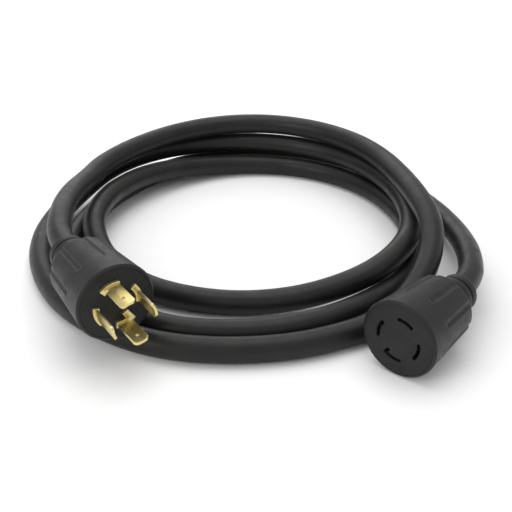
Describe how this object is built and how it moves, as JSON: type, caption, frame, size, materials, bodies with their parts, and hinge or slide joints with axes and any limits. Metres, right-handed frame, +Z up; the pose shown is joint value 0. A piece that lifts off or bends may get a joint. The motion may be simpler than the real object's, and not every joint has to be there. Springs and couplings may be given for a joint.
{
  "type": "shore power cord",
  "caption": "Coiled heavy four-wire shore power cord with a moulded locking plug with curved blades and a matching moulded locking connector.",
  "frame": {"origin": "on the surface the cord lies on, at the centre of the box round the two moulded ends", "axes": "+X from the plug towards the connector, +Y back over the coiled cable away from the two mating faces, +Z up"},
  "size_m": [0.3468, 0.3721, 0.0715],
  "materials": {
    "jacket": "satin black oil-resistant thermoplastic jacket",
    "overmould": "satin black moulded PVC",
    "insulator": "fine matt black moulded insulator",
    "brass": "bright stamped brass",
    "copper": "bare stranded copper",
    "wire_black": "extruded PVC insulation",
    "wire_red": "extruded PVC insulation",
    "wire_white": "extruded PVC insulation",
    "wire_green": "extruded PVC insulation",
    "inner_filling": "grey inner moulding",
    "core_filler": "laid-up conductors and paper filler"
  },
  "bodies": {
    "root": {"cable_core": "core_filler", "cable_jacket": "jacket", "connector_contact_ground": "brass", "connector_contact_hot_x": "brass", "connector_contact_hot_y": "brass", "connector_contact_neutral": "brass", "connector_contact_retainer": "insulator", "connector_copper_ends": "copper", "connector_face": "insulator", "connector_inner_mould": "inner_filling", "connector_overmould": "overmould", "connector_strain_relief": "overmould", "connector_wire_black": "wire_black", "connector_wire_green": "wire_green", "connector_wire_red": "wire_red", "connector_wire_white": "wire_white", "plug_blade_carrier": "insulator", "plug_blade_ground": "brass", "plug_blade_hot_x": "brass", "plug_blade_hot_y": "brass", "plug_blade_neutral": "brass", "plug_copper_ends": "copper", "plug_inner_mould": "inner_filling", "plug_overmould": "overmould", "plug_strain_relief": "overmould", "plug_wire_black": "wire_black", "plug_wire_green": "wire_green", "plug_wire_red": "wire_red", "plug_wire_white": "wire_white"}
  },
  "joints": []
}
